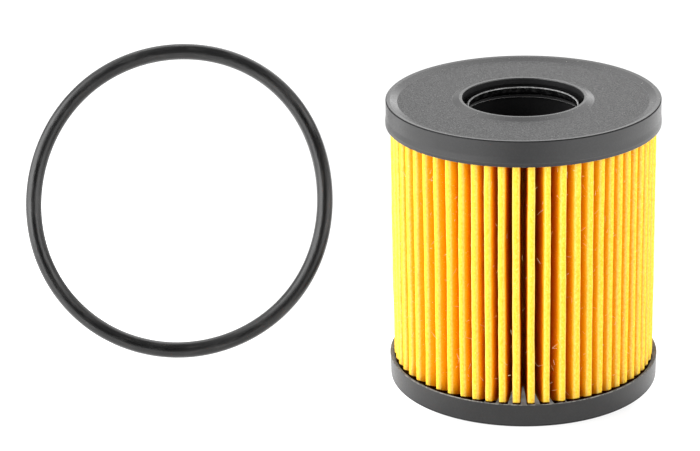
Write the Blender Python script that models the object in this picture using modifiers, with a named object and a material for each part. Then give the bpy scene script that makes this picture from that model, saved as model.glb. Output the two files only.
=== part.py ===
"""Metal-free oil filter element (two plastic end caps, pleated paper, slotted core, seals and
adhesive) with the loose O-ring of its housing cover. Metres, +Z up. The origin is on the surface
that both stand on, midway across the set."""

import math

import bmesh
import bpy
from mathutils import Euler, Matrix, Vector

MM = 0.001
GAP = 0.3 * MM  # between pieces that touch

# Element: overall
CAP_RADIUS = 32.5 * MM
RIM_HEIGHT = 71.0 * MM  # top of the upper cap's outer rim
BORE_RADIUS = 14.4 * MM
TURN_STEPS = 60  # facets round a cap
INNER_TURN_STEPS = 48  # facets round a seal or a bed of adhesive

# Upper cap
DISC_HEIGHT = 70.3 * MM  # flat ring between rim and collar
COLLAR_HEIGHT = 70.9 * MM  # top of the cone round the bore
COLLAR_FOOT_RADIUS = 16.8 * MM
RIM_FOOT_RADIUS = 29.8 * MM
RIM_EDGE_RADIUS = 0.3 * MM
TOP_SKIRT_DEPTH = 6.2 * MM
SKIRT_FLARE = 0.25 * MM  # how far the skirt's lower edge stands out
PLATE_THICKNESS = 1.6 * MM
SKIRT_INNER_RADIUS = 31.8 * MM

# Lower cap
BOTTOM_CAP_RADIUS = 32.65 * MM
BOTTOM_CAP_HEIGHT = 5.85 * MM
BOTTOM_EDGE_RADIUS = 0.55 * MM
FLOOR_THICKNESS = 1.9 * MM

# Spigot round the bore under each cap, with a groove that holds the bore seal
SPIGOT_RADIUS = 16.3 * MM
SPIGOT_LENGTH = 2.6 * MM
LAND_RADIUS = 14.2 * MM
LAND_HEIGHT = 0.7 * MM
GROOVE_RADIUS = 15.4 * MM
GROOVE_HEIGHT = 2.6 * MM
SEAL_LIP_RADIUS = 12.8 * MM

# Pleated paper
PLEAT_COUNT = 60
PLEAT_TIP_RADIUS = 31.5 * MM
PLEAT_ROOT_RADIUS = 16.6 * MM
PAPER_THICKNESS = 0.5 * MM
FOLD_RADIUS = 0.45 * MM  # of the paper's middle layer
FOLD_STEPS = 3
POTTING_THICKNESS = 1.0 * MM
SEAM_THICKNESS = 0.45 * MM
SEAM_DEPTH = 4.5 * MM

# Slotted core
CORE_INNER_RADIUS = 15.0 * MM
CORE_WALL = 1.2 * MM
CORE_COLUMNS = 8
CORE_ROWS = 6
CORE_FACETS_PER_COLUMN = 4
CORE_HOOP = 3.0 * MM
CORE_END_HOOP = 8.5 * MM  # plain length at each end of the core

# Cover O-ring, stood on edge beside the element and leaning back
RING_INNER_DIAMETER = 70.5 * MM
RING_CORD_DIAMETER = 3.7 * MM
RING_LEAN = math.radians(21.2)
RING_TURN = math.radians(4.7)
RING_FROM_ELEMENT = Vector((-86.35 * MM, 19.55 * MM))
RING_FACETS = 80
RING_CORD_FACETS = 10

ring_radius = (RING_INNER_DIAMETER + RING_CORD_DIAMETER) / 2
cord_radius = RING_CORD_DIAMETER / 2
ring_turning = Euler((math.pi / 2 - RING_LEAN, 0, RING_TURN)).to_matrix()


def ring_reach(direction):
    """How far the leaning ring reaches from its centre along a unit vector."""
    along_axis = direction.dot(ring_turning @ Vector((0, 0, 1)))
    return ring_radius * math.sqrt(1 - along_axis**2) + cord_radius


# The set is centred on the origin in plan.
cap_reach = CAP_RADIUS + SKIRT_FLARE
set_left = RING_FROM_ELEMENT.x - ring_reach(Vector((1, 0, 0)))
set_back = RING_FROM_ELEMENT.y + ring_reach(Vector((0, 1, 0)))
element_place = Vector((-(set_left + cap_reach) / 2, (cap_reach - set_back) / 2, 0))
ring_place = element_place + RING_FROM_ELEMENT.to_3d()
ring_place.z = ring_reach(Vector((0, 0, 1)))


def clear_scene():
    for obj in list(bpy.data.objects):
        bpy.data.objects.remove(obj, do_unlink=True)


def make_material(name, colour, roughness, metallic=0.0):
    material = bpy.data.materials.new(name)
    material.use_nodes = True
    shader = material.node_tree.nodes["Principled BSDF"]
    shader.inputs["Base Color"].default_value = (*colour, 1)
    shader.inputs["Roughness"].default_value = roughness
    shader.inputs["Metallic"].default_value = metallic
    return material


def place(obj, parent, material):
    """Puts an object in the set's collection, under its parent, in its material."""
    collection.objects.link(obj)
    obj.parent = parent
    obj.data.materials.append(material)
    return obj


def arc(centre_r, centre_z, radius, first, last, steps):
    """Points on an arc of a profile, with angles in degrees from +r towards +z."""
    angles = [math.radians(first + (last - first) * i / steps) for i in range(steps + 1)]
    return [(centre_r + radius * math.cos(a), centre_z + radius * math.sin(a)) for a in angles]


def turned(name, profile, material, steps=TURN_STEPS):
    """A ring turned round the element's axis from a closed profile of (radius, height) points,
    listed down its outer side and back up its inner side."""
    mesh = bpy.data.meshes.new(name)
    count = len(profile)
    edges = [(i, (i + 1) % count) for i in range(count)]
    mesh.from_pydata([(r, 0, z) for r, z in profile], edges, [])
    obj = place(bpy.data.objects.new(name, mesh), element, material)
    screw = obj.modifiers.new("Turn", "SCREW")
    screw.steps = screw.render_steps = steps
    screw.use_smooth_shade = True
    return obj


def make_top_cap():
    fillet = RIM_EDGE_RADIUS
    skirt_foot = RIM_HEIGHT - TOP_SKIRT_DEPTH
    under_plate = DISC_HEIGHT - PLATE_THICKNESS
    spigot_foot = under_plate - SPIGOT_LENGTH
    land_top = spigot_foot + LAND_HEIGHT
    flare = CAP_RADIUS + SKIRT_FLARE
    profile = arc(CAP_RADIUS - fillet, RIM_HEIGHT - fillet, fillet, 90, 0, 4)
    profile += [
        (CAP_RADIUS + 0.05 * MM, skirt_foot + 2.2 * MM),
        (flare, skirt_foot + 1.0 * MM),
        (flare, skirt_foot + 0.2 * MM),
        (flare - 0.2 * MM, skirt_foot),
        (SKIRT_INNER_RADIUS, skirt_foot),
        (SKIRT_INNER_RADIUS, under_plate),
        (SPIGOT_RADIUS, under_plate),
        (SPIGOT_RADIUS, spigot_foot),
        (LAND_RADIUS, spigot_foot),
        (LAND_RADIUS, land_top),
        (GROOVE_RADIUS, land_top),
        (GROOVE_RADIUS, land_top + GROOVE_HEIGHT),
        (BORE_RADIUS, land_top + GROOVE_HEIGHT),
        (BORE_RADIUS, COLLAR_HEIGHT - 0.1 * MM),
        (BORE_RADIUS + 0.1 * MM, COLLAR_HEIGHT),
        (BORE_RADIUS + 0.6 * MM, COLLAR_HEIGHT),
        (COLLAR_FOOT_RADIUS, DISC_HEIGHT),
        (RIM_FOOT_RADIUS, DISC_HEIGHT),
    ]
    turned("top_end_cap", profile, black_plastic)
    make_seal("top_bore_seal", land_top + GAP, land_top + GROOVE_HEIGHT - GAP, 1)
    make_potting("top_potting", under_plate - GAP)
    return spigot_foot, under_plate - 2 * GAP - POTTING_THICKNESS


def make_bottom_cap():
    edge = BOTTOM_EDGE_RADIUS
    lip = 0.2 * MM
    spigot_top = FLOOR_THICKNESS + SPIGOT_LENGTH
    land_foot = spigot_top - LAND_HEIGHT
    chamfer = 0.4 * MM
    profile = [
        (BOTTOM_CAP_RADIUS - lip, BOTTOM_CAP_HEIGHT),
        (BOTTOM_CAP_RADIUS, BOTTOM_CAP_HEIGHT - lip),
    ]
    profile += arc(BOTTOM_CAP_RADIUS - edge, edge, edge, 0, -90, 4)
    profile += [
        (BORE_RADIUS + chamfer, 0),
        (BORE_RADIUS, chamfer),
        (BORE_RADIUS, land_foot - GROOVE_HEIGHT),
        (GROOVE_RADIUS, land_foot - GROOVE_HEIGHT),
        (GROOVE_RADIUS, land_foot),
        (LAND_RADIUS, land_foot),
        (LAND_RADIUS, spigot_top),
        (SPIGOT_RADIUS, spigot_top),
        (SPIGOT_RADIUS, FLOOR_THICKNESS),
        (SKIRT_INNER_RADIUS, FLOOR_THICKNESS),
        (SKIRT_INNER_RADIUS, BOTTOM_CAP_HEIGHT - lip),
        (SKIRT_INNER_RADIUS + lip, BOTTOM_CAP_HEIGHT),
    ]
    turned("bottom_end_cap", profile, black_plastic)
    make_seal("bottom_bore_seal", land_foot - GROOVE_HEIGHT + GAP, land_foot - GAP, -1)
    make_potting("bottom_potting", FLOOR_THICKNESS + GAP + POTTING_THICKNESS)
    return spigot_top, FLOOR_THICKNESS + 2 * GAP + POTTING_THICKNESS


def make_seal(name, low, high, outward):
    """A rubber ring in a cap's groove. Its lip leans towards the cap's outer face."""
    outer = GROOVE_RADIUS - GAP
    lip = SEAL_LIP_RADIUS
    middle = (low + high) / 2
    half = (high - low) / 2
    profile = [
        (outer, 1.0),
        (outer, -1.0),
        (lip + 0.8 * MM, -1.0),
        (lip + 0.1 * MM, -0.2),
        (lip, 0.6),
        (lip + 0.3 * MM, 1.0),
    ]
    profile = [(r, middle + outward * half * share) for r, share in profile]
    if outward < 0:
        profile.reverse()
    turned(name, profile, black_rubber, INNER_TURN_STEPS)


def make_potting(name, top):
    inner = SPIGOT_RADIUS + GAP
    outer = SKIRT_INNER_RADIUS - GAP
    low = top - POTTING_THICKNESS
    profile = [(outer, top), (outer, low), (inner, low), (inner, top)]
    turned(name, profile, adhesive, INNER_TURN_STEPS)


def pleat_outline():
    """The paper's middle layer in plan: a tip fold and a root fold for each pleat."""
    half = PAPER_THICKNESS / 2
    tip = PLEAT_TIP_RADIUS - half - FOLD_RADIUS
    root = PLEAT_ROOT_RADIUS + half + FOLD_RADIUS
    points = []
    for pleat in range(PLEAT_COUNT):
        for fold_centre, offset, outward in ((tip, 0.0, 1), (root, 0.5, -1)):
            turning = Matrix.Rotation(2 * math.pi * (pleat + offset) / PLEAT_COUNT, 3, "Z")
            for step in range(FOLD_STEPS + 1):
                sweep = math.pi * (step / FOLD_STEPS - 0.5)
                along = fold_centre + outward * FOLD_RADIUS * math.cos(sweep)
                points.append(turning @ Vector((along, FOLD_RADIUS * math.sin(sweep), 0)))
    return points


def make_media(low, high):
    """A wall of paper along the outline, made solid by its thickness."""
    outline = pleat_outline()
    shape = bmesh.new()
    ends = [[shape.verts.new((p.x, p.y, z)) for p in outline] for z in (low, high)]
    for i in range(len(outline)):
        j = (i + 1) % len(outline)
        shape.faces.new((ends[0][i], ends[0][j], ends[1][j], ends[1][i]))
    mesh = bpy.data.meshes.new("pleated_media")
    shape.to_mesh(mesh)
    shape.free()
    obj = place(bpy.data.objects.new("pleated_media", mesh), element, filter_paper)
    solid = obj.modifiers.new("Paper", "SOLIDIFY")
    solid.thickness = PAPER_THICKNESS
    solid.offset = 0
    solid.use_even_offset = True
    mesh.shade_smooth()


def make_seam(low, high):
    """The glue bead in the valley where the two end leaves of the paper meet. The valley faces
    the back, which is +Y."""
    size = Vector((SEAM_DEPTH, SEAM_THICKNESS, high - low))
    shape = bmesh.new()
    bmesh.ops.create_cube(shape, size=1, matrix=Matrix.Diagonal((*size, 1)))
    mesh = bpy.data.meshes.new("media_side_seam")
    shape.to_mesh(mesh)
    shape.free()
    obj = place(bpy.data.objects.new("media_side_seam", mesh), element, adhesive)
    valley = 2 * math.pi * (PLEAT_COUNT // 4 + 0.5) / PLEAT_COUNT
    reach = PLEAT_TIP_RADIUS - 1.2 * MM - SEAM_DEPTH / 2
    obj.location = (reach * math.cos(valley), reach * math.sin(valley), (low + high) / 2)
    obj.rotation_euler.z = valley


def make_core(low, high):
    """A tube of windows between ribs and hoops: a cylinder's grid of faces with the windows
    left out, made solid by its wall."""
    facets = CORE_COLUMNS * CORE_FACETS_PER_COLUMN
    window = (high - low - 2 * CORE_END_HOOP - (CORE_ROWS - 1) * CORE_HOOP) / CORE_ROWS
    heights = [low, low + CORE_END_HOOP]
    for _ in range(CORE_ROWS - 1):
        heights += [heights[-1] + window, heights[-1] + window + CORE_HOOP]
    heights += [high - CORE_END_HOOP, high]
    shape = bmesh.new()
    rows = []
    radius = CORE_INNER_RADIUS + CORE_WALL / 2
    angles = [2 * math.pi * i / facets for i in range(facets)]
    for z in heights:
        rows.append([shape.verts.new((radius * math.cos(a), radius * math.sin(a), z)) for a in angles])
    for level in range(len(rows) - 1):
        for i in range(facets):
            is_rib = i % CORE_FACETS_PER_COLUMN == 0
            is_hoop = level % 2 == 0
            if is_rib or is_hoop:
                j = (i + 1) % facets
                low_edge = rows[level][i], rows[level][j]
                high_edge = rows[level + 1][j], rows[level + 1][i]
                shape.faces.new((*low_edge, *high_edge))
    mesh = bpy.data.meshes.new("centre_tube")
    shape.to_mesh(mesh)
    shape.free()
    obj = place(bpy.data.objects.new("centre_tube", mesh), element, black_plastic)
    solid = obj.modifiers.new("Wall", "SOLIDIFY")
    solid.thickness = CORE_WALL
    solid.offset = 0
    mesh.shade_smooth()


def make_ring():
    bpy.ops.mesh.primitive_torus_add(
        major_radius=ring_radius,
        minor_radius=cord_radius,
        major_segments=RING_FACETS,
        minor_segments=RING_CORD_FACETS,
    )
    ring = bpy.context.object
    ring.name = ring.data.name = "cover_o_ring"
    for holder in list(ring.users_collection):
        holder.objects.unlink(ring)
    place(ring, ring_lift, black_rubber)
    ring.rotation_euler = ring_turning.to_euler()
    ring.data.shade_smooth()


def make_empty(name, location):
    empty = bpy.data.objects.new(name, None)
    empty.location = location
    collection.objects.link(empty)
    return empty


clear_scene()
collection = bpy.data.collections.new("oil_filter_element")
bpy.context.scene.collection.children.link(collection)

black_plastic = make_material("black_plastic", (0.022, 0.022, 0.023), 0.5)
black_rubber = make_material("black_rubber", (0.016, 0.016, 0.017), 0.45)
filter_paper = make_material("filter_paper", (0.87, 0.72, 0.06), 0.85)
adhesive = make_material("adhesive", (0.19, 0.15, 0.05), 0.4)

element = make_empty("element", element_place)
ring_lift = make_empty("ring_lift", ring_place)  # the loose ring lifts off straight up

spigot_foot, media_top = make_top_cap()
spigot_top, media_foot = make_bottom_cap()
make_media(media_foot, media_top)
make_seam(media_foot + GAP, media_top - GAP)
make_core(spigot_top + GAP, spigot_foot - GAP)
make_ring()
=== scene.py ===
"""Looks of the oil filter element and of the loose O-ring of its housing cover, built round the
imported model. Lengths are in metres in the row frame, and MM turns millimetres into them."""

import math

import bmesh
import bpy
import numpy as np
from mathutils import Matrix, Vector, noise


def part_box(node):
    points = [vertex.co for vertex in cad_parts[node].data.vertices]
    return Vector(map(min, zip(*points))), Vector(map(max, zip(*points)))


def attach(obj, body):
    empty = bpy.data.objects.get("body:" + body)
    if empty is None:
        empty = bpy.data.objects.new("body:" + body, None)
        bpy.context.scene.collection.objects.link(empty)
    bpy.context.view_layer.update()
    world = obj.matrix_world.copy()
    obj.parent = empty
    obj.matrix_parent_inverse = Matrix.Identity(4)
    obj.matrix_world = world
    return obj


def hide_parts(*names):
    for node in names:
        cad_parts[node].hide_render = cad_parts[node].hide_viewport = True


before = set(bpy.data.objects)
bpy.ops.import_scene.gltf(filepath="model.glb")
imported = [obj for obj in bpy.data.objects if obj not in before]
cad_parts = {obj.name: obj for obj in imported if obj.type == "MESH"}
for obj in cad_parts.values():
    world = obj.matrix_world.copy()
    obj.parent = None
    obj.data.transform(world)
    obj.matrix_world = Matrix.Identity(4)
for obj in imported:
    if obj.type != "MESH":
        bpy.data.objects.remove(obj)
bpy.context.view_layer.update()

MM = 0.001

# Camera, from the foot of the element's axis
CAMERA_OFFSET = Vector((3.05, -546.7, 251.03)) * MM
CAMERA_LEFT = math.radians(4.70)
CAMERA_DOWN = math.radians(21.22)
CAMERA_ROLL = math.radians(-1.58)
CAMERA_LENS = 124.6

# Turned pieces
TURN_STEPS = 256
FILLET_STEPS = 5
SUPPORT = 0.05 * MM  # distance of the loop that keeps a flat run flat beside its fillet
SMOOTH, GRAINED, SATIN, SCUFFED_HIGHLIT, SHADED, GLUED = range(6)  # the caps' finishes

# Caps, in millimetres
RIM_HEIGHT, DISC_HEIGHT, COLLAR_HEIGHT = 71.0, 70.3, 70.9  # of the upper cap
SKIRT_DEPTH = 6.2
PLATE_THICKNESS = 1.6
BOTTOM_HEIGHT = 5.85
BOTTOM_FLOOR = 1.9
BORE, LAND, GROOVE, SPIGOT, WALL_INSIDE = 14.4, 14.2, 15.4, 16.3, 31.8  # radii
SPIGOT_LENGTH = 2.6
GROOVE_EDGES = 0.7, -1.9  # of the upper cap, from its plate's underside

# Pleated paper
PLEAT_COUNT = 60
PLEAT_START = -3.3  # degrees from the front towards the right, of pleat 0
PLEAT_DRIFT = ((2, 2.5, 47), (5, 0.9, -77), (8, 0.3, -109))  # waves round, degrees, phase
PLEAT_TIP_RADIUS = 31.6 * MM
PLEAT_ROOT_RADIUS = 16.6 * MM
PAPER_THICKNESS = 0.5 * MM
TIP_HALF_WIDTH = 0.53 * MM  # of the paper's middle layer
TIP_HEIGHT = 0.6 * MM
ROOT_HALF_WIDTH = 0.44 * MM
PAPER_ROWS = 58
CREASE_HIGHLIGHT = [0.0, 0.35, 0.05, 0.0, 0.05, 0.35, 0.0]  # how pale each point across a tip's fold is: crease wear and a painted highlight on the fold's corners
ROOT_SHARE = 0.4  # how evenly the roots are spread, where 0 is midway between their tips
SOAKED_BELOW_RIM = 0.35 * MM, 0.15 * MM  # where the lower cap's adhesive has climbed the paper
SOAKED_SLOPE = 0.42  # how much lower it is per distance into a valley
PAPER_SHADE_BY_DEPTH = (  # mm below the tips, and the colour there: painted shade, darker and redder into the valleys
    (0.5, 2.0, (0.97, 0.54, 0.008)),
    (2.0, 4.0, (0.86, 0.37, 0.005)),
    (4.0, 8.5, (0.66, 0.21, 0.005)),
)

# Adhesive beds
BED_STEPS = 720
BED_RADII = (  # mm
    16.6, 17.0, 18.0, 20.0, 22.0, 24.0, 26.0, 28.0, 29.5, 30.3, 30.8, 31.1, 31.4, 31.6, 31.76,
)
BED_DROP = 2.45  # mm from the cap's rim down to the bed
BED_CLIMB = 2.05, 30.2, 1.5  # mm: how far it climbs at the wall, from which radius, over what
BED_LUMPS = (0.16, 1.1), (0.1, 3.5)  # mm high, mm across

# Seam and core
SEAM_ROWS = 48
SEAM_INSET = 1.3 * MM
SEAM_DEPTH = 4.5 * MM
SEAM_THICKNESS = 0.45 * MM
CORE_COLUMNS = 8
CORE_ROWS = 6
CORE_FACETS_PER_COLUMN = 12
CORE_RIB_FACETS = 3
CORE_HOOP = 3.0 * MM
CORE_END_HOOP = 8.5 * MM
CORE_WALL = 1.2 * MM
CORE_EDGE = 0.2 * MM

# O-ring
RING_STEPS = 320
CORD_STEPS = 48
RING_OVAL = ((2, 0.57, 68.5), (3, 0.116, 68), (4, 0.152, 46), (5, 0.045, -25))  # waves, mm, peak
CORD_SWELL = 0.17 * MM  # of the real cord over the CAD one's radius
RING_SWELL = 0.08 * MM  # of the centreline's radius
FLASH_HEIGHT = 0.05 * MM
STREAK_SHARE = 0.16  # of the ring's radius: a smaller one draws the streaks out along the cord

# Loose fibres
FIBRE_COUNT = 560
FIBRE_LENGTH = 0.5 * MM, 1.7 * MM
FIBRE_RADIUS = 0.025 * MM, 0.045 * MM
FIBRE_ROOT = 30.2 * MM, 31.2 * MM  # radius that a fibre starts at
FIBRE_OFFSET = 0.6 / 31, 1.6 / 31  # radians beside a pleat's middle
FIBRE_END_GAP = 4 * MM  # none starts nearer to the paper's ends
FIBRE_SIDES = 5

# Floor: its own glow, by distance to the element's right (x) and back (y)
FLOOR_REACH = 3.0
FLOOR_GLOW = 0.8
FLOOR_GLOW_FAR = 1.05  # added far to either side
FLOOR_GLOW_BESIDE = 0.5  # added close beside the element
ELEMENT_EDGE = 31.5 * MM, 32.3 * MM  # nothing glows under the element

# Studio: lights are (direction, full inside, none outside, strength), in degrees
LIGHTS = (
    ((-1.0, -0.4, 0.25), 18, 44, 4.5),  # left
    ((-0.64, -0.12, 0.75), 13, 21, 2.4),  # its upper end
    ((-0.5, -0.75, 0.35), 8, 22, 2.6),  # its front end
    ((1.0, -0.35, 0.25), 18, 44, 2.7),  # right
    ((0.25, 1.0, 0.25), 4, 12, 1.3),  # a small lamp low on the wall behind
)
WALL = (0, 1, 0.2), 35, 85, 1.0
WALL_LAMP = (0, 1, 0.3), 5, 14, 0.8
DIM_FRONT = (0, -1, 0.35), 15, 40, 0.8

element_low, element_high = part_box("bottom_end_cap")
AXIS = Vector(((element_low.x + element_high.x) / 2, (element_low.y + element_high.y) / 2, 0))
BOTTOM_RIM = element_high.z


# ---------------------------------------------------------------- nodes


def node(tree, kind, settings=None, **inputs):
    """A new node with its settings and inputs; an input that is a socket is linked."""
    made = tree.nodes.new(kind)
    for name, value in (settings or {}).items():
        setattr(made, name, value)
    for name, value in inputs.items():
        key = name.replace("_", " ")
        socket = made.inputs[int(key[2:])] if key.startswith("in") else made.inputs[key]
        if isinstance(value, bpy.types.NodeSocket):
            tree.links.new(value, socket)
        else:
            socket.default_value = value
    return made


def noise_of(tree, place, scale, detail=3.0, roughness=0.6, stretch=(1, 1, 1)):
    """A noise value from 0 to 1; its features are about 1 / scale metres across."""
    placed = node(tree, "ShaderNodeMapping", Vector=place, Scale=stretch)
    made = node(
        tree, "ShaderNodeTexNoise", Vector=placed.outputs[0], Scale=scale, Detail=detail,
        Roughness=roughness,
    )
    return made.outputs["Fac"]


def remap(tree, value, low, high, to_low, to_high, smooth=True):
    """A value carried from one range to another, held at its ends."""
    settings = {"interpolation_type": "SMOOTHSTEP" if smooth else "LINEAR"}
    made = node(tree, "ShaderNodeMapRange", settings, Value=value)
    for name, number in (
        ("From Min", low), ("From Max", high), ("To Min", to_low), ("To Max", to_high),
    ):
        made.inputs[name].default_value = number
    return made.outputs[0]


def math_of(tree, operation, first, second=0.0):
    """The result of one arithmetic step."""
    return node(
        tree, "ShaderNodeMath", {"operation": operation}, in0=first, in1=second
    ).outputs[0]


def mix(tree, share, first, second):
    """A colour between two colours."""
    made = node(tree, "ShaderNodeMix", {"data_type": "RGBA"})
    for key, value in ((0, share), (6, first), (7, second)):
        if isinstance(value, bpy.types.NodeSocket):
            tree.links.new(value, made.inputs[key])
        else:
            made.inputs[key].default_value = value if key == 0 else (*value, 1)
    return made.outputs[2]


def material_of(name):
    """A new material with its tree, Principled shader and object coordinates."""
    material = bpy.data.materials.new(name)
    material.use_nodes = True
    tree = material.node_tree
    shader = tree.nodes["Principled BSDF"]
    place = node(tree, "ShaderNodeTexCoord").outputs["Object"]
    return material, tree, shader, place


def bump(tree, shader, height, distance):
    """Relief too fine for the mesh, distance deep in metres."""
    made = node(tree, "ShaderNodeBump", Height=height, Distance=distance, Strength=1.0)
    tree.links.new(made.outputs[0], shader.inputs["Normal"])


def wear_and_highlight_share(tree):
    """How far a point lies on a rounded outer edge or fold, as each mesh's builder marks it: where
    wear and a painted highlight pale the colour.
    """
    return node(tree, "ShaderNodeAttribute", {"attribute_name": "wear_and_highlight"}).outputs["Fac"]


# ---------------------------------------------------------------- materials


def make_plastic(name, rough_low, rough_high, grain_scale, grain_depth, speckle, gloss=0.5):
    """Black moulded plastic with a fine grain, rounded edges paled by wear and a painted highlight,
    grey specks, and a little pale dust where it faces up."""
    material, tree, shader, place = material_of(name)
    mottle = noise_of(tree, place, 160, 4)
    grain = noise_of(tree, place, grain_scale, 1, 0.5)
    normal = node(tree, "ShaderNodeNewGeometry").outputs["Normal"]
    facing_up = node(tree, "ShaderNodeSeparateXYZ", Vector=normal).outputs["Z"]
    dust = math_of(
        tree, "MULTIPLY", remap(tree, noise_of(tree, place, 2900, 1, 0.4), 0.745, 0.76, 0, 1),
        remap(tree, facing_up, 0.6, 0.85, 0, 1),
    )
    base = mix(tree, remap(tree, mottle, 0.35, 0.65, 0, 0.4), (0.012, 0.012, 0.0125),
               (0.018, 0.018, 0.0185))
    coarse = noise_of(tree, place, 2300, 2, 0.6)
    base = mix(tree, remap(tree, coarse, 0.42, 0.66, 0, speckle), base, (0.07, 0.07, 0.07))
    # rounded edges paled: partly wear, partly a painted highlight along the fillets
    wear_and_highlight = math_of(tree, "MULTIPLY", wear_and_highlight_share(tree), remap(tree, grain, 0.3, 0.6, 0.5, 1))
    base = mix(tree, wear_and_highlight, base, (0.05, 0.05, 0.05))
    base = mix(tree, dust, base, (0.3, 0.29, 0.27))
    tree.links.new(base, shader.inputs["Base Color"])
    rough = remap(tree, grain, 0.3, 0.7, rough_low, rough_high)
    tree.links.new(rough, shader.inputs["Roughness"])
    shader.inputs["Specular IOR Level"].default_value = gloss
    height = math_of(tree, "ADD", grain, math_of(tree, "MULTIPLY", coarse, 0.8))
    bump(tree, shader, height, grain_depth * MM)
    return material


def make_scuffed_highlight(name, low, high):
    """A sharp edge paled in flecks by handling, and paler overall as a painted highlight along it.
    """
    material, tree, shader, place = material_of(name)
    fleck = noise_of(tree, place, 900, 4, 0.7)
    # pale flecks of wear together with a painted highlight
    base = mix(tree, remap(tree, fleck, 0.4, 0.62, 0, 1), low, high)
    tree.links.new(base, shader.inputs["Base Color"])
    tree.links.new(remap(tree, fleck, 0.3, 0.7, 0.4, 0.6), shader.inputs["Roughness"])
    bump(tree, shader, fleck, 0.02 * MM)
    return material


def make_rubber(name, gloss, roughest, relief):
    """Black nitrile rubber with dusty streaks along the cord. relief is in millimetres."""
    material, tree, shader, _ = material_of(name)
    along = node(tree, "ShaderNodeAttribute", {"attribute_name": "streak"}).outputs["Vector"]
    streak = noise_of(tree, along, 900, 4, 0.65)
    patch = noise_of(tree, along, 260, 3, 0.6)
    fine = noise_of(tree, along, 4200, 2, 0.5)
    base = mix(tree, remap(tree, streak, 0.45, 0.7, 0, 1), (0.003, 0.003, 0.0032),
               (0.02, 0.02, 0.02))
    tree.links.new(base, shader.inputs["Base Color"])
    rough = remap(tree, patch, 0.35, 0.62, 0.24, roughest)
    tree.links.new(rough, shader.inputs["Roughness"])
    shader.inputs["Specular IOR Level"].default_value = gloss
    height = math_of(tree, "ADD", streak, math_of(tree, "MULTIPLY", fine, 0.5))
    bump(tree, shader, height, relief * MM)
    return material


def make_paper():
    """Resin-treated yellow filter paper: felted, paler along its folds (crease wear and a painted
    highlight), with painted shade darker and redder into its valleys, and stained by the adhesive
    at its lower end."""
    material, tree, shader, place = material_of("filter_paper")
    felt = noise_of(tree, place, 2200, 3, 0.75, (1, 1, 0.6))
    cloud = noise_of(tree, place, 120, 3, 0.5)
    speck = remap(tree, noise_of(tree, place, 3200, 1, 0.4), 0.7, 0.76, 0, 1)
    apart = node(tree, "ShaderNodeSeparateXYZ", Vector=place)
    flat = node(tree, "ShaderNodeCombineXYZ", X=apart.outputs["X"], Y=apart.outputs["Y"])
    radius = node(
        tree, "ShaderNodeVectorMath", {"operation": "LENGTH"}, in0=flat.outputs[0]
    ).outputs["Value"]
    depth = math_of(tree, "SUBTRACT", PLEAT_TIP_RADIUS, radius)
    base = mix(tree, remap(tree, felt, 0.3, 0.7, 0, 1), (0.97, 0.51, 0.025), (1.0, 0.7, 0.08))
    # painted shade: the paper darkens and reddens with depth into the valleys
    for start, end, colour in PAPER_SHADE_BY_DEPTH:
        share = remap(tree, depth, start * MM, end * MM, 0, 1, smooth=False)
        base = mix(tree, share, base, colour)
    base = mix(tree, remap(tree, cloud, 0.3, 0.7, 0, 0.15), base, (1.0, 0.6, 0.03))
    base = mix(tree, math_of(tree, "MULTIPLY", speck, 0.5), base, (1.0, 0.9, 0.5))
    # the folds' corners paled: crease wear and a painted highlight
    crease_highlight = math_of(tree, "MULTIPLY", wear_and_highlight_share(tree), remap(tree, felt, 0.3, 0.6, 0.5, 1))
    base = mix(tree, crease_highlight, base, (1.0, 0.87, 0.42))
    height = apart.outputs["Z"]
    ragged = math_of(tree, "MULTIPLY", noise_of(tree, place, 500, 3, 0.6), 0.5 * MM)
    above = math_of(tree, "SUBTRACT", height, ragged)
    above = math_of(tree, "ADD", above, math_of(tree, "MULTIPLY", depth, SOAKED_SLOPE))
    wet, dry = (BOTTOM_RIM - below for below in SOAKED_BELOW_RIM)
    soaked = remap(tree, above, wet, dry, 1, 0)
    base = mix(tree, soaked, base, (0.035, 0.014, 0.004))
    tree.links.new(base, shader.inputs["Base Color"])
    shader.inputs["Roughness"].default_value = 0.8
    shader.inputs["Specular IOR Level"].default_value = 0.0
    bump(tree, shader, felt, 0.09 * MM)
    return material


def make_fibre_material():
    """Bleached loose fibres."""
    material, tree, shader, place = material_of("paper_fibre")
    tone = noise_of(tree, place, 300, 2)
    base = mix(tree, remap(tree, tone, 0.3, 0.7, 0, 1), (0.95, 0.62, 0.2), (1.0, 0.88, 0.62))
    tree.links.new(base, shader.inputs["Base Color"])
    shader.inputs["Roughness"].default_value = 0.7
    return material


def make_adhesive():
    """Olive-brown hot-melt adhesive, half glossy and lumpy."""
    material, tree, shader, place = material_of("adhesive")
    lump = noise_of(tree, place, 700, 4, 0.6)
    cloud = noise_of(tree, place, 240, 2, 0.5)
    base = mix(tree, remap(tree, cloud, 0.35, 0.65, 0, 1), (0.045, 0.032, 0.012),
               (0.13, 0.1, 0.045))
    tree.links.new(base, shader.inputs["Base Color"])
    tree.links.new(remap(tree, lump, 0.3, 0.7, 0.3, 0.55), shader.inputs["Roughness"])
    bump(tree, shader, lump, 0.08 * MM)
    return material


# ---------------------------------------------------------------- meshes


def around(angle, radius):
    """A point at an angle from the front, positive to the right."""
    return Vector((radius * math.sin(angle), -radius * math.cos(angle)))


def finished(name, mesh, materials, slot, *nodes, at=AXIS):
    """The object for a mesh: placed, riding with its body, and standing for its CAD nodes."""
    obj = bpy.data.objects.new(name, mesh)
    bpy.context.scene.collection.objects.link(obj)
    obj.location = at
    for material in materials:
        mesh.materials.append(material)
    mesh.shade_smooth()
    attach(obj, "o_ring" if "cover_o_ring" in nodes else "element")
    if nodes:
        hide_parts(*nodes)
    return obj


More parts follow.
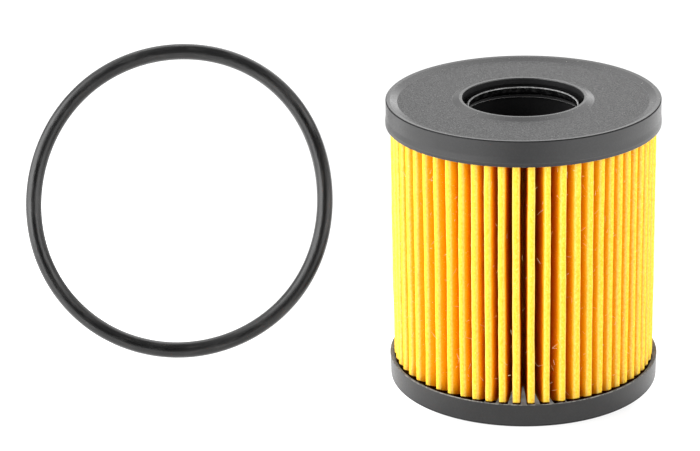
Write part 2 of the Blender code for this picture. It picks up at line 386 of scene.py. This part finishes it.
def wrapped(name, points, finish=None, wear_and_highlight=None):
    """A closed mesh from a grid of points that joins up with itself both ways. finish gives each
    column's material, and the last argument says how much wear and painted highlight pale each
    column's points."""
    rows, columns = points.shape[:2]
    across = np.arange(rows)[:, None] * columns
    column = np.arange(columns)[None, :]
    after = (across + columns) % (rows * columns)
    right = (column + 1) % columns
    faces = np.stack([across + column, across + right, after + right, after + column], -1)
    mesh = bpy.data.meshes.new(name)
    mesh.from_pydata(points.reshape(-1, 3), [], faces.reshape(-1, 4))
    if finish is not None:
        mesh.polygons.foreach_set("material_index", np.tile(finish, rows).astype(np.int32))
    if wear_and_highlight is not None:
        layer = mesh.attributes.new("wear_and_highlight", "FLOAT", "POINT")
        layer.data.foreach_set("value", np.tile(wear_and_highlight, rows).astype(np.float32))
    shape = bmesh.new()
    shape.from_mesh(mesh)
    bmesh.ops.recalc_face_normals(shape, faces=shape.faces)
    shape.to_mesh(mesh)
    shape.free()
    return mesh


def rounded(corners):
    """A closed profile, clockwise in (radius, height), with each corner rounded. A corner is
    (radius, height, fillet, finish of the run that follows), in millimetres, and may end with
    the finish of its own fillet."""
    places = [Vector(corner[:2]) * MM for corner in corners]
    points, finish, wear_and_highlight = [], [], []
    for i, (_, _, fillet, after, *own) in enumerate(corners):
        here, before = places[i], corners[i - 1][3]
        fillet_finish = own[0] if own else min(before, after)
        comes = (here - places[i - 1]).normalized()
        goes = (places[(i + 1) % len(places)] - here).normalized()
        turn = comes.angle_signed(goes)  # clockwise is positive
        reach = fillet * MM * math.tan(abs(turn) / 2)
        start = here - comes * reach
        side = Vector((comes.y, -comes.x)) * math.copysign(fillet * MM, turn)
        arc = []
        for step in range(FILLET_STEPS + 1):
            share = step / FILLET_STEPS
            swung = Matrix.Rotation(-turn * share, 2) @ -side
            # an outer corner is marked for edge wear and a painted highlight, strongest mid-fillet
            arc.append((start + side + swung, math.sin(math.pi * share) if turn > 0 else 0.0))
        arc.insert(0, (start - comes * SUPPORT, 0.0))
        arc.append((here + goes * (reach + SUPPORT), 0.0))
        points += [point for point, _ in arc]
        wear_and_highlight += [mark for _, mark in arc]
        finish += [before] + [fillet_finish] * FILLET_STEPS + [after, after]
    return np.array(points), np.array(finish), np.array(wear_and_highlight)


def turned(name, corners, materials, slot, *nodes):
    """A ring turned round the element's axis."""
    profile, finish, wear_and_highlight = rounded(corners)
    angles = np.linspace(0, 2 * math.pi, TURN_STEPS, endpoint=False)[:, None]
    radius, height = profile[:, 0], profile[:, 1]
    points = np.stack(
        [radius * np.sin(angles), -radius * np.cos(angles), height + 0 * angles], -1
    )
    mesh = wrapped(name, points, finish, wear_and_highlight)
    return finished(name, mesh, materials, slot, *nodes)


def make_top_cap():
    """The upper cap: rim, flat ring, collar, bore, seal groove, plate and skirt."""
    foot, plate = RIM_HEIGHT - SKIRT_DEPTH, DISC_HEIGHT - PLATE_THICKNESS
    groove_top, groove_foot = (plate + edge for edge in GROOVE_EDGES)
    corners = [
        (32.34, RIM_HEIGHT, 0.12, SHADED, SMOOTH),
        (32.58, RIM_HEIGHT - 0.24, 0.12, SATIN, SHADED),
        (32.6, foot + 2.2, 4.0, SATIN),
        (32.75, foot + 0.9, 0.8, SATIN),
        (32.72, foot, 0.18, SMOOTH),
        (WALL_INSIDE, foot, 0.1, SMOOTH),
        (WALL_INSIDE, plate, 0.2, SMOOTH),
        (SPIGOT, plate, 0.2, SMOOTH),
        (SPIGOT, plate - SPIGOT_LENGTH, 0.15, SMOOTH),
        (LAND, plate - SPIGOT_LENGTH, 0.15, SHADED),
        (LAND, groove_foot, 0.1, SHADED),
        (GROOVE, groove_foot, 0.1, SHADED),
        (GROOVE, groove_top, 0.1, SHADED),
        (BORE, groove_top, 0.1, SHADED),
        (BORE, COLLAR_HEIGHT - 0.25, 0.05, SMOOTH),
        (BORE, COLLAR_HEIGHT, 0.2, SMOOTH),
        (15.15, COLLAR_HEIGHT, 0.05, SMOOTH),
        (16.8, DISC_HEIGHT, 0.3, GRAINED),
        (29.8, DISC_HEIGHT, 0.2, SMOOTH),
        (31.5, RIM_HEIGHT - 0.11, 0.6, SMOOTH),
    ]
    turned("top_cap_moulding", corners, caps, "end_cap_plastic", "top_end_cap")


def make_bottom_cap():
    """The lower cap: a dish whose rim's outer edge has scuffed flecks and a painted highlight, and
    the bore with its seal groove.
    """
    corners = [
        # the rim's outer edge: pale scuffed flecks and a painted highlight line
        (32.58, BOTTOM_HEIGHT, 0.06, SCUFFED_HIGHLIT),
        (32.68, BOTTOM_HEIGHT - 0.19, 0.06, SATIN),
        (32.55, 0.0, 0.55, SATIN, SHADED),
        (BORE + 0.2, 0.0, 0.3, SMOOTH),
        (BORE, 0.4, 0.15, SMOOTH),
        (BORE, 1.2, 0.1, SMOOTH),
        (GROOVE, 1.2, 0.1, SMOOTH),
        (GROOVE, 3.8, 0.1, SMOOTH),
        (LAND, 3.8, 0.1, SMOOTH),
        (LAND, BOTTOM_FLOOR + SPIGOT_LENGTH, 0.15, SMOOTH),
        (SPIGOT, BOTTOM_FLOOR + SPIGOT_LENGTH, 0.15, SMOOTH),
        (SPIGOT, BOTTOM_FLOOR, 0.2, SMOOTH),
        (WALL_INSIDE, BOTTOM_FLOOR, 0.2, SHADED),
        (WALL_INSIDE, BOTTOM_HEIGHT - 0.4, 0.12, GLUED),
    ]
    turned("bottom_cap_moulding", corners, caps, "end_cap_plastic", "bottom_end_cap")


def make_seal(name, node_name, outward):
    """A rubber ring in a cap's groove. Its thin lip stands up towards the cap's outer face,
    with a furrow behind it."""
    low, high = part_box(node_name)
    middle, half = (low.z + high.z) / 2 / MM, (high.z - low.z) / 2 / MM
    shape = [
        # points marked True take the paler lip rubber: a painted highlight along the lip's crest
        (15.1, 0.6, 0.2), (15.1, -1.0, 0.25), (13.5, -1.0, 0.3), (12.95, -0.35, 0.4),
        (12.78, 1.0, 0.2, True), (13.26, 1.0, 0.2, True), (13.4, -0.3, 0.25), (14.3, -0.4, 0.25),
    ]
    corners = [
        (r, middle + outward * half * share, fillet, 0, int(bool(on_lip)))
        for r, share, fillet, *on_lip in shape
    ]
    if outward < 0:
        corners.reverse()
    obj = turned(name, corners, [seal_rubber, seal_lip_highlight], "seal_rubber", node_name)
    add_streaks(obj.data, np.array([v.co for v in obj.data.vertices]))


def add_streaks(mesh, points):
    """The coordinates that the rubber's streaks are read from."""
    layer = mesh.attributes.new("streak", "FLOAT_VECTOR", "POINT")
    layer.data.foreach_set("vector", points.astype(np.float32).ravel())


def pleat_angles():
    """Each pleat's angle from the front. The pleats bunch up and spread as they are packed."""
    even = 360 / PLEAT_COUNT * np.arange(PLEAT_COUNT)
    drift = sum(
        size * np.sin(np.radians(waves * even + phase)) for waves, size, phase in PLEAT_DRIFT
    )
    return np.radians(even + PLEAT_START + drift)


def wander(rng, heights, sizes_and_lengths, count):
    """For each of count pleats, a sum of slow and quick waves along its height."""
    total = np.zeros((len(heights), count))
    for size, length in sizes_and_lengths:
        phase = rng.uniform(0, 2 * math.pi, count)
        own = length * rng.uniform(0.8, 1.25, count)
        total += size * rng.uniform(0.5, 1.3, count) * np.sin(
            2 * math.pi * heights[:, None] / own + phase
        )
    return total * MM


def pleat_rows(heights):
    """The paper's middle layer: for each height, a closed outline of points in plan."""
    rng = np.random.default_rng(11)
    tips = pleat_angles()
    following = np.append(tips[1:], tips[0] + 2 * math.pi)
    even = np.radians(360 / PLEAT_COUNT * (np.arange(PLEAT_COUNT) + 0.5) + PLEAT_START)
    roots = (1 - ROOT_SHARE) * (tips + following) / 2 + ROOT_SHARE * even
    sway = wander(rng, heights, ((0.05, 75), (0.025, 26), (0.012, 9)), PLEAT_COUNT)
    reach = wander(rng, heights, ((0.04, 60), (0.02, 14), (0.02, 5)), PLEAT_COUNT)
    swell = wander(rng, heights, ((0.02, 40), (0.012, 7)), PLEAT_COUNT)
    bulge = wander(rng, heights, ((0.07, 60), (0.03, 18)), 2 * PLEAT_COUNT)
    own_width = TIP_HALF_WIDTH * rng.uniform(0.92, 1.12, PLEAT_COUNT)
    own_reach = rng.uniform(-0.1, 0.02, PLEAT_COUNT) * MM

    def local(angle, along, sideways):
        return np.stack(
            [
                along * np.sin(angle) + sideways * np.cos(angle),
                -along * np.cos(angle) + sideways * np.sin(angle),
            ],
            -1,
        )

    half = PAPER_THICKNESS / 2
    tip_base = PLEAT_TIP_RADIUS - half - TIP_HEIGHT + own_reach + reach
    tip_angle = tips + sway / PLEAT_TIP_RADIUS
    width = own_width + swell
    outline = []
    for step in range(len(CREASE_HIGHLIGHT)):
        swing = math.pi * (step / (len(CREASE_HIGHLIGHT) - 1) - 0.5)
        across = math.sin(swing)
        rise = max(math.cos(swing), 0.0) ** 0.85
        outline.append(local(tip_angle, tip_base + TIP_HEIGHT * rise, width * across))
    straight = np.zeros_like(reach)
    root_base = PLEAT_ROOT_RADIUS + half + ROOT_HALF_WIDTH + straight
    root = []
    for across, rise in ((-1, 0), (0, 1), (1, 0)):
        along = root_base - ROOT_HALF_WIDTH * rise
        root.append(local(roots + straight, along, ROOT_HALF_WIDTH * across + straight))
    next_tip = np.roll(outline[0], -1, axis=1)

    def flank(start, end, shares, bow):
        run = end - start
        side = np.stack([run[..., 1], -run[..., 0]], -1)
        side /= np.linalg.norm(side, axis=-1, keepdims=True)
        return [
            start + run * share + side * (bow * math.sin(math.pi * share))[..., None]
            for share in shares
        ]

    inwards = flank(outline[-1], root[0], (0.16, 0.5), bulge[:, :PLEAT_COUNT])
    outwards = flank(root[-1], next_tip, (0.5, 0.84), bulge[:, PLEAT_COUNT:])
    loop = np.stack(outline + inwards + root + outwards, axis=2)
    return loop.reshape(len(heights), -1, 2)


def make_media():
    """The pleated paper: an outer and an inner skin on either side of its middle layer."""
    low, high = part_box("pleated_media")
    heights = np.linspace(low.z, high.z, PAPER_ROWS) / MM
    middle = pleat_rows(heights)
    ahead = np.roll(middle, -1, axis=1) - np.roll(middle, 1, axis=1)
    side = np.stack([ahead[..., 1], -ahead[..., 0]], -1)
    side /= np.linalg.norm(side, axis=-1, keepdims=True)
    rng = np.random.default_rng(5)
    half = PAPER_THICKNESS / 2 * (1 + rng.normal(0, 0.015, middle.shape[:2]))[..., None]
    tall = np.repeat(heights[:, None, None] * MM, middle.shape[1], axis=1)
    outer = np.concatenate([middle + side * half, tall], -1)
    inner = np.concatenate([middle - side * half, tall], -1)
    points = np.concatenate([outer, inner[::-1]], 0)
    per_pleat = middle.shape[1] // PLEAT_COUNT
    # each fold's corners are marked for crease wear and a painted highlight
    wear_and_highlight = np.tile(CREASE_HIGHLIGHT + [0.0] * (per_pleat - len(CREASE_HIGHLIGHT)), PLEAT_COUNT)
    mesh = wrapped("pleated_paper", points, wear_and_highlight=wear_and_highlight)
    obj = finished("pleated_paper", mesh, [paper], "filter_paper", "pleated_media")
    obj.visible_glossy = False  # the black pieces don't mirror its yellow


def make_potting(name, node_name, rim, outward):
    """The bed of adhesive that holds the paper's end. Its free face lies lower between the
    pleats and climbs to the cap's wall."""
    low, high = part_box(node_name)
    foot = low.z if outward < 0 else high.z
    radii = np.array(BED_RADII) * MM
    climb_height, climb_start, climb_run = BED_CLIMB
    points = []
    for angle in np.linspace(0, 2 * math.pi, BED_STEPS, endpoint=False):
        row = []
        for radius in radii:
            spot = Vector((*around(angle, radius), rim))
            lumps = sum(size * noise.noise(spot / (wide * MM)) for size, wide in BED_LUMPS)
            climb = min(max((radius / MM - climb_start) / climb_run, 0), 1) ** 2
            drop = (BED_DROP - climb * climb_height) * MM - lumps * MM
            row.append((spot.x, spot.y, rim + outward * drop))
        row += [(*around(angle, r), foot) for r in (radii[-1], radii[0])]
        points.append(row)
    mesh = wrapped(name, np.array(points))
    finished(name, mesh, [adhesive], "adhesive", node_name)


def make_seam():
    """The glue bead in the rear valley where the two end leaves of the paper meet."""
    low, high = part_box("media_side_seam")
    tips = pleat_angles()
    valleys = (tips + np.append(tips[1:], tips[0] + 2 * math.pi)) / 2
    angle = valleys[np.argmin(np.abs(valleys - math.pi))]
    outer = PLEAT_TIP_RADIUS - SEAM_INSET
    rng = np.random.default_rng(3)
    heights = np.linspace(low.z, high.z, SEAM_ROWS)
    ripple = wander(rng, heights / MM, ((0.12, 17), (0.07, 6), (0.05, 3)), 2)
    out, across = (Vector((*around(turn, 1), 0)) for turn in (angle, angle + math.pi / 2))
    shape = bmesh.new()
    loops = []
    for i, height in enumerate(heights):
        end = outer + ripple[i, 0]
        half = SEAM_THICKNESS / 2 + ripple[i, 1] * 0.4
        section = [
            (end - SEAM_DEPTH, -half), (end - SEAM_DEPTH / 2, -half), (end - half, -half),
            (end, 0), (end - half, half), (end - SEAM_DEPTH / 2, half), (end - SEAM_DEPTH, half),
        ]
        loops.append([
            shape.verts.new(out * r + across * s + Vector((0, 0, height))) for r, s in section
        ])
    for first, second in zip(loops, loops[1:]):
        for i in range(len(first)):
            j = (i + 1) % len(first)
            shape.faces.new((first[i], first[j], second[j], second[i]))
    shape.faces.new(loops[0])
    shape.faces.new(loops[-1])
    bmesh.ops.recalc_face_normals(shape, faces=shape.faces)
    mesh = bpy.data.meshes.new("seam_bead")
    shape.to_mesh(mesh)
    shape.free()
    finished("seam_bead", mesh, [adhesive], "adhesive", "media_side_seam")


def make_core():
    """The slotted tube inside the paper: hoops and ribs with rounded edges."""
    low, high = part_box("centre_tube")
    outer = (high.x - low.x) / 2
    facets = CORE_COLUMNS * CORE_FACETS_PER_COLUMN
    hoops = 2 * CORE_END_HOOP + (CORE_ROWS - 1) * CORE_HOOP
    window = (high.z - low.z - hoops) / CORE_ROWS
    heights = [low.z, low.z + CORE_END_HOOP]
    for _ in range(CORE_ROWS - 1):
        heights += [heights[-1] + window, heights[-1] + window + CORE_HOOP]
    heights += [high.z - CORE_END_HOOP, high.z]
    shape = bmesh.new()
    radius = outer - CORE_WALL / 2
    rows = [
        [
            shape.verts.new((*around(2 * math.pi * i / facets, radius), z))
            for i in range(facets)
        ]
        for z in heights
    ]
    for level in range(len(rows) - 1):
        for i in range(facets):
            is_rib = i % CORE_FACETS_PER_COLUMN < CORE_RIB_FACETS
            if level % 2 == 0 or is_rib:
                j = (i + 1) % facets
                below, above = rows[level], rows[level + 1]
                shape.faces.new((below[i], below[j], above[j], above[i]))
    mesh = bpy.data.meshes.new("slotted_core")
    shape.to_mesh(mesh)
    shape.free()
    obj = finished("slotted_core", mesh, [core_plastic], "core_plastic", "centre_tube")
    wall = obj.modifiers.new("Wall", "SOLIDIFY")
    wall.thickness = CORE_WALL
    wall.offset = 0
    edges = obj.modifiers.new("Edges", "BEVEL")
    edges.width = CORE_EDGE
    edges.segments = 2
    edges.angle_limit = math.radians(40)
    obj.visible_glossy = False  # nor is it mirrored through the paper


def ring_frame():
    """The CAD ring's centre, axis, centreline radius and cord radius, from its own points."""
    corners = np.array([v.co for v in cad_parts["cover_o_ring"].data.vertices], float)
    centre = corners.mean(0)
    spread = corners - centre
    axis = np.linalg.svd(spread, full_matrices=False)[2][2]
    axis = Vector(axis if axis[1] < 0 else -axis)
    depth = spread @ np.array(axis)
    cord = np.abs(depth).max()
    reach = np.linalg.norm(spread - np.outer(depth, axis), axis=1).max()
    return Vector(centre), axis, reach - cord, cord


def make_ring():
    """The O-ring: slightly out of round, with the mould's parting line on its inner and outer
    sides, and resting on the floor where the CAD ring does."""
    centre, axis, radius, cord = ring_frame()
    up = (Vector((0, 0, 1)) - axis * axis.z).normalized()
    right = up.cross(axis)
    points, streaks = [], []
    for i in range(RING_STEPS):
        turn = 2 * math.pi * i / RING_STEPS
        wave = sum(
            size * math.cos(waves * (turn - math.radians(peak))) for waves, size, peak in RING_OVAL
        )
        out = right * math.cos(turn) + up * math.sin(turn)
        row = []
        for j in range(CORD_STEPS):
            swing = 2 * math.pi * j / CORD_STEPS
            flash = FLASH_HEIGHT if j % (CORD_STEPS // 2) == 0 else 0.0
            thick = cord + CORD_SWELL + flash
            spot = out * (radius + wave * MM + RING_SWELL + thick * math.cos(swing))
            spot += axis * (thick * math.sin(swing))
            row.append(spot)
            short = STREAK_SHARE * radius + cord * math.cos(swing)
            streaks.append(
                (short * math.cos(turn), short * math.sin(turn), cord * math.sin(swing))
            )
        points.append(row)
    points = np.array(points)
    floor_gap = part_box("cover_o_ring")[0].z
    points[..., 2] += floor_gap - centre.z - points[..., 2].min()
    mesh = wrapped("cover_o_ring_cord", points)
    add_streaks(mesh, np.array(streaks))
    finished("cover_o_ring_cord", mesh, [ring_rubber], "ring_rubber", "cover_o_ring", at=centre)


def make_fibres():
    """Loose paper fibres that stand off the pleats' folds."""
    rng = np.random.default_rng(23)
    low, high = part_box("pleated_media")
    tips = pleat_angles()
    shape = bmesh.new()
    for _ in range(FIBRE_COUNT):
        tip, beside = tips[rng.integers(PLEAT_COUNT)], rng.choice((-1, 1))
        angle = tip + beside * rng.uniform(*FIBRE_OFFSET)
        height = rng.uniform(low.z + FIBRE_END_GAP, high.z - FIBRE_END_GAP)
        start = Vector((*around(angle, rng.uniform(*FIBRE_ROOT)), height))
        out = Vector((*around(angle, 1), 0))
        side = Vector((*around(angle + math.pi / 2, 1), 0))
        heading = side * rng.normal(0, 0.7) + Vector((0, 0, 1)) * rng.normal(0, 1) + out * 0.25
        heading.normalize()
        bend = (out * rng.normal(0, 0.4) + side * rng.normal(0, 0.8)) * 0.35
        length = rng.uniform(*FIBRE_LENGTH)
        thick = rng.uniform(*FIBRE_RADIUS)
        path = [start + (heading * s + bend * s * s) * length for s in (0, 0.25, 0.5, 0.75, 1)]
        loops = []
        for i, point in enumerate(path):
            ahead = (path[min(i + 1, 4)] - path[max(i - 1, 0)]).normalized()
            first = ahead.orthogonal().normalized()
            second = ahead.cross(first)
            taper = thick * (1 - 0.15 * i)
            loops.append([
                shape.verts.new(point + (first * math.cos(a) + second * math.sin(a)) * taper)
                for a in (math.tau * k / FIBRE_SIDES for k in range(FIBRE_SIDES))
            ])
        for one, two in zip(loops, loops[1:]):
            for i in range(FIBRE_SIDES):
                j = (i + 1) % FIBRE_SIDES
                shape.faces.new((one[i], one[j], two[j], two[i]))
        shape.faces.new(loops[0])
        shape.faces.new(loops[-1])
    bmesh.ops.recalc_face_normals(shape, faces=shape.faces)
    mesh = bpy.data.meshes.new("paper_fibres")
    shape.to_mesh(mesh)
    shape.free()
    finished("paper_fibres", mesh, [make_fibre_material()], "filter_paper")


# ---------------------------------------------------------------- studio


def make_floor():
    """A plain white floor. It glows a little more to the sides, where the skirt mirrors it."""
    mesh = bpy.data.meshes.new("floor")
    reach = FLOOR_REACH
    mesh.from_pydata(
        [(-reach, -reach, 0), (reach, -reach, 0), (reach, reach, 0), (-reach, reach, 0)],
        [], [(0, 1, 2, 3)],
    )
    floor = bpy.data.objects.new("floor", mesh)
    bpy.context.scene.collection.objects.link(floor)
    material, tree, shader, place = material_of("white_floor")
    tone = noise_of(tree, place, 8, 2)
    tree.links.new(
        mix(tree, tone, (0.2, 0.2, 0.2), (0.22, 0.22, 0.22)), shader.inputs["Base Color"]
    )
    shader.inputs["Roughness"].default_value = 0.9
    shader.inputs["Specular IOR Level"].default_value = 0.0
    shader.inputs["Emission Color"].default_value = (1, 1, 1, 1)
    apart = node(tree, "ShaderNodeSeparateXYZ", Vector=place)
    sideways = math_of(tree, "SUBTRACT", apart.outputs["X"], AXIS.x)
    right = remap(tree, sideways, 45 * MM, 160 * MM, 0, FLOOR_GLOW_FAR)
    backwards = math_of(tree, "SUBTRACT", apart.outputs["Y"], AXIS.y)
    right = math_of(tree, "MULTIPLY", right, remap(tree, backwards, 25 * MM, 110 * MM, 1, 0.55))
    left = remap(tree, sideways, -150 * MM, -40 * MM, FLOOR_GLOW_FAR, 0)
    left = math_of(tree, "MULTIPLY", left, remap(tree, backwards, 70 * MM, 150 * MM, 1, 0.2))
    glow = math_of(tree, "ADD", FLOOR_GLOW, math_of(tree, "ADD", left, right))
    from_axis = node(
        tree, "ShaderNodeVectorMath", {"operation": "DISTANCE"}, in0=place, in1=AXIS
    ).outputs["Value"]
    beside = math_of(
        tree, "ADD", remap(tree, sideways, 24 * MM, 36 * MM, 0, FLOOR_GLOW_BESIDE),
        remap(tree, sideways, -36 * MM, -14 * MM, FLOOR_GLOW_BESIDE, 0),
    )
    beside = math_of(tree, "MULTIPLY", beside, remap(tree, from_axis, 45 * MM, 70 * MM, 1, 0))
    glow = math_of(tree, "ADD", glow, beside)
    glow = math_of(tree, "MULTIPLY", glow, remap(tree, from_axis, *ELEMENT_EDGE, 0, 1))
    tree.links.new(glow, shader.inputs["Emission Strength"])
    mesh.materials.append(material)


def lobe(tree, toward, direction, inner, outer, strength):
    """Light from round a direction: full inside one angle and none outside another."""
    aim = Vector(direction).normalized()
    cosine = node(
        tree, "ShaderNodeVectorMath", {"operation": "DOT_PRODUCT"}, in0=toward, in1=aim
    ).outputs["Value"]
    low, high = math.cos(math.radians(outer)), math.cos(math.radians(inner))
    return remap(tree, cosine, low, high, 0, strength)


def make_studio():
    """A white studio: a wall behind that brightens upwards, with two lamps low on it, a large
    soft light on each side and a dim front."""
    world = bpy.data.worlds.new("studio")
    bpy.context.scene.world = world
    world.use_nodes = True
    tree = world.node_tree
    background = tree.nodes["Background"]
    toward = node(tree, "ShaderNodeTexCoord").outputs["Generated"]
    height = node(tree, "ShaderNodeSeparateXYZ", Vector=toward).outputs["Z"]
    total = remap(tree, height, 0.3, 0.9, 0.5, 0.35)
    for light in LIGHTS:
        total = math_of(tree, "ADD", total, lobe(tree, toward, *light))
    wall = lobe(tree, toward, *WALL)
    by_height = remap(tree, height, 0.28, 0.72, 0.3, 1.9)
    by_height = math_of(tree, "MULTIPLY", by_height, remap(tree, height, 0.82, 0.96, 1, 0))
    total = math_of(tree, "ADD", total, math_of(tree, "MULTIPLY", wall, by_height))
    total = math_of(tree, "ADD", total, lobe(tree, toward, *WALL_LAMP))
    dim = lobe(tree, toward, *DIM_FRONT)
    total = math_of(tree, "MULTIPLY", total, math_of(tree, "SUBTRACT", 1.0, dim))
    tree.links.new(total, background.inputs["Strength"])
    background.inputs["Color"].default_value = (1, 1, 1, 1)


def make_camera():
    """A long lens from the front and above."""
    data = bpy.data.cameras.new("camera")
    data.lens = CAMERA_LENS
    data.sensor_width = 36
    data.clip_start = 0.01
    data.clip_end = 20
    camera = bpy.data.objects.new("camera", data)
    bpy.context.scene.collection.objects.link(camera)
    place = Matrix.Translation(AXIS + CAMERA_OFFSET)
    turn = Matrix.Rotation(CAMERA_LEFT, 4, "Z") @ Matrix.Rotation(math.pi / 2 - CAMERA_DOWN, 4, "X")
    camera.matrix_world = place @ turn @ Matrix.Rotation(CAMERA_ROLL, 4, "Z")
    bpy.context.scene.camera = camera


adhesive = make_adhesive()
caps = [
    make_plastic("cap_plastic_smooth", 0.19, 0.26, 1400, 0.003, 0.03),
    make_plastic("cap_plastic_grained", 0.34, 0.56, 2900, 0.17, 0.7),
    make_plastic("cap_plastic_satin", 0.28, 0.36, 2600, 0.008, 0.06),
    # pale flecks of wear and a painted highlight, for the lower rim's edge
    make_scuffed_highlight("cap_plastic_scuffed_highlit", (0.045, 0.043, 0.04), (0.22, 0.21, 0.19)),
    make_plastic("cap_plastic_shaded", 0.4, 0.55, 2600, 0.01, 0.02, 0.06),
    adhesive,
]
core_plastic = make_plastic("core_plastic", 0.4, 0.55, 2600, 0.008, 0.02, 0.0)
ring_rubber = make_rubber("ring_rubber", 0.5, 0.36, 0.05)
seal_rubber = make_rubber("seal_rubber", 0.0, 0.28, 0.003)
# a paler rubber on the seal lip's crest: painted highlight
seal_lip_highlight = make_scuffed_highlight("seal_lip_highlight_rubber", (0.13, 0.13, 0.13), (0.3, 0.3, 0.3))
paper = make_paper()

make_top_cap()
make_bottom_cap()
make_seal("top_seal_lip", "top_bore_seal", 1)
make_seal("bottom_seal_lip", "bottom_bore_seal", -1)
make_media()
make_potting("bottom_adhesive", "bottom_potting", BOTTOM_RIM, -1)
make_potting("top_adhesive", "top_potting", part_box("top_end_cap")[0].z, 1)
make_seam()
make_core()
make_ring()
make_fibres()
make_floor()
make_studio()
make_camera()

bpy.context.scene.view_settings.view_transform = "Standard"
bpy.context.scene.cycles.diffuse_bounces = 8
bpy.context.scene.cycles.max_bounces = 12
